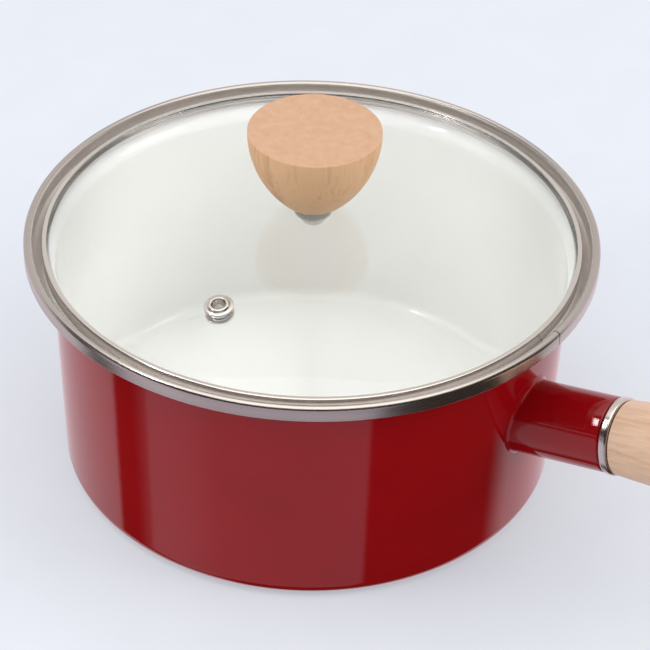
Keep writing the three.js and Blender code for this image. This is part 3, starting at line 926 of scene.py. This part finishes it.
def make_vent():
    """The eyelet and its washer, turned upright and then set into the dome."""
    hole, tube, flange, roll = 2.3 * MM, 3.1 * MM, 5.0 * MM, 4.3 * MM
    lip_height, roll_height = 1.5 * MM, 0.6 * MM
    under = -GLASS_THICKNESS - GAP
    washer_thickness = 0.8 * MM
    tail = under - washer_thickness - REST
    eyelet = turned("steel_vent_eyelet", [
        (hole, tail - roll_height, 0.3 * MM),
        (roll, tail - roll_height, 0.25 * MM),
        (roll, tail),
        (tube, tail),
        (tube, REST),
        (flange, REST),
        (flange, 0.6 * MM, 0.3 * MM),
        (3.75 * MM, 0.65 * MM, 0.2 * MM),
        (3.5 * MM, lip_height, 0.4 * MM),
        (hole, lip_height, 0.4 * MM),
    ], 64, steps=4)
    washer = turned("steel_vent_washer", [
        (tube + REST, under - washer_thickness),
        (flange, under - washer_thickness, 0.2 * MM),
        (flange, under, 0.2 * MM),
        (tube + REST, under),
    ], 48, steps=2)
    for piece in (eyelet, washer):
        place(piece, VENT_FRAME)
        finish(piece, VENT_STEEL)
    return eyelet, washer


vent_eyelet, vent_washer = make_vent()
settle(vent_eyelet, "lid", "vent_steel", "vent_eyelet")
settle(vent_washer, "lid", "vent_washer_steel", "vent_washer")

# %% [markdown]
# ## Knob
# The knob is half an egg of beech, flat on top with the edge just broken, tapering to a small
# foot. Its side is a quarter turn of sine and cosine, and a power on the sine sets the taper.

# %% Knob
KNOB_FOOT, KNOB_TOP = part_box("knob")[0].z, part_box("knob")[1].z
KNOB_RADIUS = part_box("knob")[1].x
KNOB_FOOT_RADIUS = 8.4 * MM
KNOB_TAPER = 1.7
KNOB_EDGE = 1.0 * MM
KNOB_BEECH = turned_beech("oiled_beech_knob", "#D6AA80", "#C09068", Matrix.Identity(4),
                          ("#CCA382", "#C29775"))


def make_knob():
    """The turned beech knob, bored for its brass insert."""
    bore, bore_top = 4.15 * MM, KNOB_FOOT + 14.3 * MM
    side_steps = 18
    side = []
    for step in range(side_steps + 1):
        angle = math.pi / 2 * step / side_steps
        side.append((KNOB_FOOT_RADIUS + (KNOB_RADIUS - KNOB_FOOT_RADIUS) * math.sin(angle) ** KNOB_TAPER,
                     KNOB_TOP - KNOB_EDGE - (KNOB_TOP - KNOB_FOOT - KNOB_EDGE) * math.cos(angle)))
    knob = turned("beech_knob", [
        (bore, bore_top),
        (bore, KNOB_FOOT),
        (*side[0], 0.6 * MM),
        *side[1:],
        (KNOB_RADIUS, KNOB_TOP, KNOB_EDGE),
    ], 96, closed=False, steps=5)
    return finish(knob, KNOB_BEECH)


settle(make_knob(), "lid", "knob_wood", "knob")

# %% [markdown]
# ## Fixings under the knob
# From below, and through the glass, the knob's screw shows with its washer and a silicone bush;
# a silicone gasket lies between the knob and the glass. The screw has a cross recess, which is
# pressed in: two crossed wedges are cut out of the head.


# %% Gasket, bush and washer
def make_stack():
    """The soft and hard rings stacked on the screw."""
    stack = []
    bore = 2.3 * MM
    for name, node, slot, material in (
            ("silicone_gasket", "knob_gasket", "gasket_silicone", SILICONE),
            ("plated_washer", "screw_washer", "washer_steel", PLATED_STEEL)):
        low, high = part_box(node)
        edge = 0.3 * (high.z - low.z)
        ring = turned(name, [(bore, low.z), (high.x, low.z, edge), (high.x, high.z, edge),
                             (bore, high.z)], 48, steps=3)
        stack.append((ring, node, slot, material))
    low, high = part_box("glass_bush")
    shoulder = dome_height(0) - GLASS_THICKNESS - 2 * REST
    sleeve = 3.6 * MM
    bush = turned("silicone_bush", [
        (bore, low.z), (high.x, low.z, 0.3 * MM), (high.x, shoulder, 0.3 * MM),
        (sleeve, shoulder), (sleeve, high.z), (bore, high.z)], 48, steps=3)
    stack.append((bush, "glass_bush", "bush_silicone", SILICONE))
    for piece, node, slot, material in stack:
        settle(finish(piece, material), "lid", slot, node)


make_stack()


# %% Screw
def make_screw():
    """The pan-head screw with its cross recess."""
    low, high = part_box("knob_screw")
    head_radius, head_height = high.x, 2.6 * MM
    screw = turned("plated_screw", [
        (head_radius, low.z, head_height / 2),
        (head_radius, low.z + head_height, 0.1 * MM),
        (2 * MM, low.z + head_height),
        (2 * MM, high.z, 0.3 * MM),
    ], 48, closed=False, steps=5)
    for quarter in (0, 1):
        deselect_all()
        bpy.ops.mesh.primitive_cube_add(size=1, location=(0, 0, low.z))
        wedge = bpy.context.object
        wedge.scale = (4.6 * MM, 0.9 * MM, 2.4 * MM)
        wedge.rotation_euler = (0, 0, quarter * math.pi / 2)
        bpy.ops.object.transform_apply(location=False)
        cut(screw, wedge)
    return finish(screw, PLATED_STEEL)


settle(make_screw(), "lid", "screw_steel", "knob_screw")

# %% [markdown]
# ## Hidden pieces
# The brass insert, the tie rod and its anchor plate are inside other pieces. Their CAD shapes are
# right as they are, so they stay, and only get their finish.

# %% Finishes of the CAD nodes that stay
for node, material in (("knob_insert", BRASS), ("tie_rod", PLATED_STEEL), ("socket_anchor", PLATED_STEEL)):
    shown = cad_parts[node]
    shown.data.materials.clear()
    shown.data.materials.append(material)
print("CAD nodes kept: 3")

# %% [markdown]
# ## Floor and studio
# A pale floor, and soft light from a large overhead box, two side boxes and the room. Enamel and
# steel show what they mirror, so the room that they mirror is painted on the world: a broad pale
# panel in front, pale walls behind, a soft ceiling, and dark gaps between them, which draw the
# dark and bright bands on the wall. The floor is left out of reflections for the same reason.

# %% Floor
FLOOR_SIZE = 40.0


def make_floor():
    """A pale floor that runs past the horizon of every view."""
    deselect_all()
    bpy.ops.mesh.primitive_plane_add(size=FLOOR_SIZE)
    floor = bpy.context.object
    floor.name = "studio_floor"
    material, tree, where, output = new_material("pale_studio_paper")
    tint = ramp(tree, noise(tree, where, 25 * MM, 3), (0.3, "#AAABAD"), (0.7, "#ADAEB0"))
    finish_material(tree, output, {
        "Base Color": tint, "Roughness": 0.9, "Specular IOR Level": 0.1,
        "Emission Color": colour("#E9EEF7"), "Emission Strength": 0.44})
    floor.data.materials.append(material)
    floor.visible_glossy = False


make_floor()

# %% The room that the surfaces mirror
# Each panel: azimuth of its middle from the camera, half width, lowest and highest elevation
# and softness of its edge (all degrees), brightness and colour.
PANELS = (
    (-24.75, 54.25, -62, 6, 1.5, 0.68, "#EADFEA"),   # front panel
    (-64, 15, -62, 6, 10, 0.85, "#EADFEA"),          # its brighter left part
    (144, 40, -75, 32, 9, 0.95, "#F8EEF6"),          # right back wall
    (-140, 40, -75, 32, 2, 0.85, "#F8EEF6"),         # left back wall
    (180, 80, 14, 56, 8, 0.80, "#FFFAF4"),           # upper back wall
    (-180, 80, 14, 56, 8, 0.80, "#FFFAF4"),          # the same again, which firms its soft edge
    (0, 181, 55, 95, 8, 1.9, "#FFFBF6"),             # ceiling
    (-80, 32, 9, 62, 6, 0.04, "#E8D8D0"),            # dark opening on the left
    (-80, 30, 12.5, 15.5, 1.2, 0.7, "#FFF4F0"),      # bright edge over the front panel
)
ROOM_DARK = "#3A332E"
ROOM_FILL = "#E9EEF6"


def make_world():
    """Even fill light for the scene, and panels and dark gaps for what is mirrored."""
    world = bpy.data.worlds.new("studio_world")
    bpy.context.scene.world = world
    world.use_nodes = True
    world.cycles.sampling_method = "NONE"
    tree = world.node_tree
    tree.nodes.clear()
    direction = add_node(tree, "ShaderNodeTexCoord").outputs["Generated"]
    mirrored = colour(ROOM_DARK)
    for azimuth, half, low, high, softness, brightness, shade in PANELS:
        towards = CAMERA_AZIMUTH - math.pi / 2 + math.radians(azimuth)
        turned_to = add_node(tree, "ShaderNodeVectorRotate", {
            "Vector": direction, "Axis": (0, 0, 1), "Angle": -towards})
        axes = add_node(tree, "ShaderNodeSeparateXYZ", {"Vector": turned_to.outputs["Vector"]})
        aside = calculate(tree, "ARCTAN2", axes.outputs["Y"], axes.outputs["X"])
        away = calculate(tree, "ABSOLUTE", aside)
        height = calculate(tree, "ARCSINE", axes.outputs["Z"])
        share = 1.0
        soft = math.radians(softness)
        for value, edge, side in ((away, half, -1), (height, low, 1), (height, high, -1)):
            border = math.radians(edge)
            fade = add_node(tree, "ShaderNodeMapRange", {
                "Value": value, "From Min": border - side * soft, "From Max": border + side * soft},
                interpolation_type="SMOOTHSTEP")
            share = calculate(tree, "MULTIPLY", share, fade.outputs["Result"])
        lit = tuple(part * brightness for part in colour(shade)[:3]) + (1.0,)
        mirrored = blend(tree, share, mirrored, lit)
    path = add_node(tree, "ShaderNodeLightPath")
    in_mirrors = calculate(tree, "SUBTRACT", path.outputs["Is Glossy Ray"],
                           path.outputs["Is Transmission Ray"], use_clamp=True)
    seen = blend(tree, in_mirrors, colour(ROOM_FILL), mirrored)
    background = add_node(tree, "ShaderNodeBackground", {"Color": seen, "Strength": 1.0})
    output = add_node(tree, "ShaderNodeOutputWorld")
    tree.links.new(background.outputs["Background"], output.inputs["Surface"])


make_world()

# %% Lamps
def add_softbox(name, azimuth, elevation, distance, size, power):
    """A square soft lamp aimed at the pan, left out of reflections, which the room's panels give."""
    data = bpy.data.lights.new(name, "AREA")
    data.size, data.energy = size, power
    lamp = bpy.data.objects.new(name, data)
    bpy.context.scene.collection.objects.link(lamp)
    turn, rise = CAMERA_AZIMUTH + math.radians(azimuth), math.radians(elevation)
    back = Vector((math.sin(turn) * math.cos(rise), -math.cos(turn) * math.cos(rise), math.sin(rise)))
    aim = Vector((0, 0, PAN_HEIGHT / 2))
    turn_to_pan = back.to_track_quat("Z", "Y").to_matrix().to_4x4()
    lamp.matrix_world = Matrix.Translation(aim + back * distance) @ turn_to_pan
    lamp.visible_glossy = False
    lamp.visible_camera = False
    return lamp


add_softbox("overhead_softbox", 0, 88, 1.2, 1.0, 2.1)
add_softbox("left_softbox", -70, 26, 1.2, 0.6, 3.0)
add_softbox("right_softbox", 80, 30, 1.2, 0.6, 5.0)


PANE_SIZE, PANE_POWER = (24 * MM, 150 * MM), 0.12
PANE_DISTANCE = 500 * MM            # from the glint on the socket


def add_window_pane(name, glint, towards):
    """A tall narrow pane that glints on the socket's shoulder, standing across the socket."""
    data = bpy.data.lights.new(name, "AREA")
    data.shape, data.size, data.size_y, data.energy = "RECTANGLE", *PANE_SIZE, PANE_POWER
    lamp = bpy.data.objects.new(name, data)
    bpy.context.scene.collection.objects.link(lamp)
    out = Vector(towards).normalized()
    along = HANDLE_FRAME.to_3x3() @ Vector((0, 0, 1))
    side = (along - out * along.dot(out)).normalized()
    turn_to_glint = Matrix((side, out.cross(side), out)).transposed().to_4x4()
    lamp.matrix_world = Matrix.Translation(Vector(glint) * MM + out * PANE_DISTANCE) @ turn_to_glint
    lamp.visible_camera = False
    return lamp


add_window_pane("left_window_pane", (116.6, -8.2, 66.4), (-0.591, -0.385, 0.709))
add_window_pane("right_window_pane", (120.0, -8.6, 66.8), (-0.583, -0.448, 0.678))
bpy.context.scene.view_settings.view_transform = "Standard"
print("lamps:", len(bpy.data.lights))
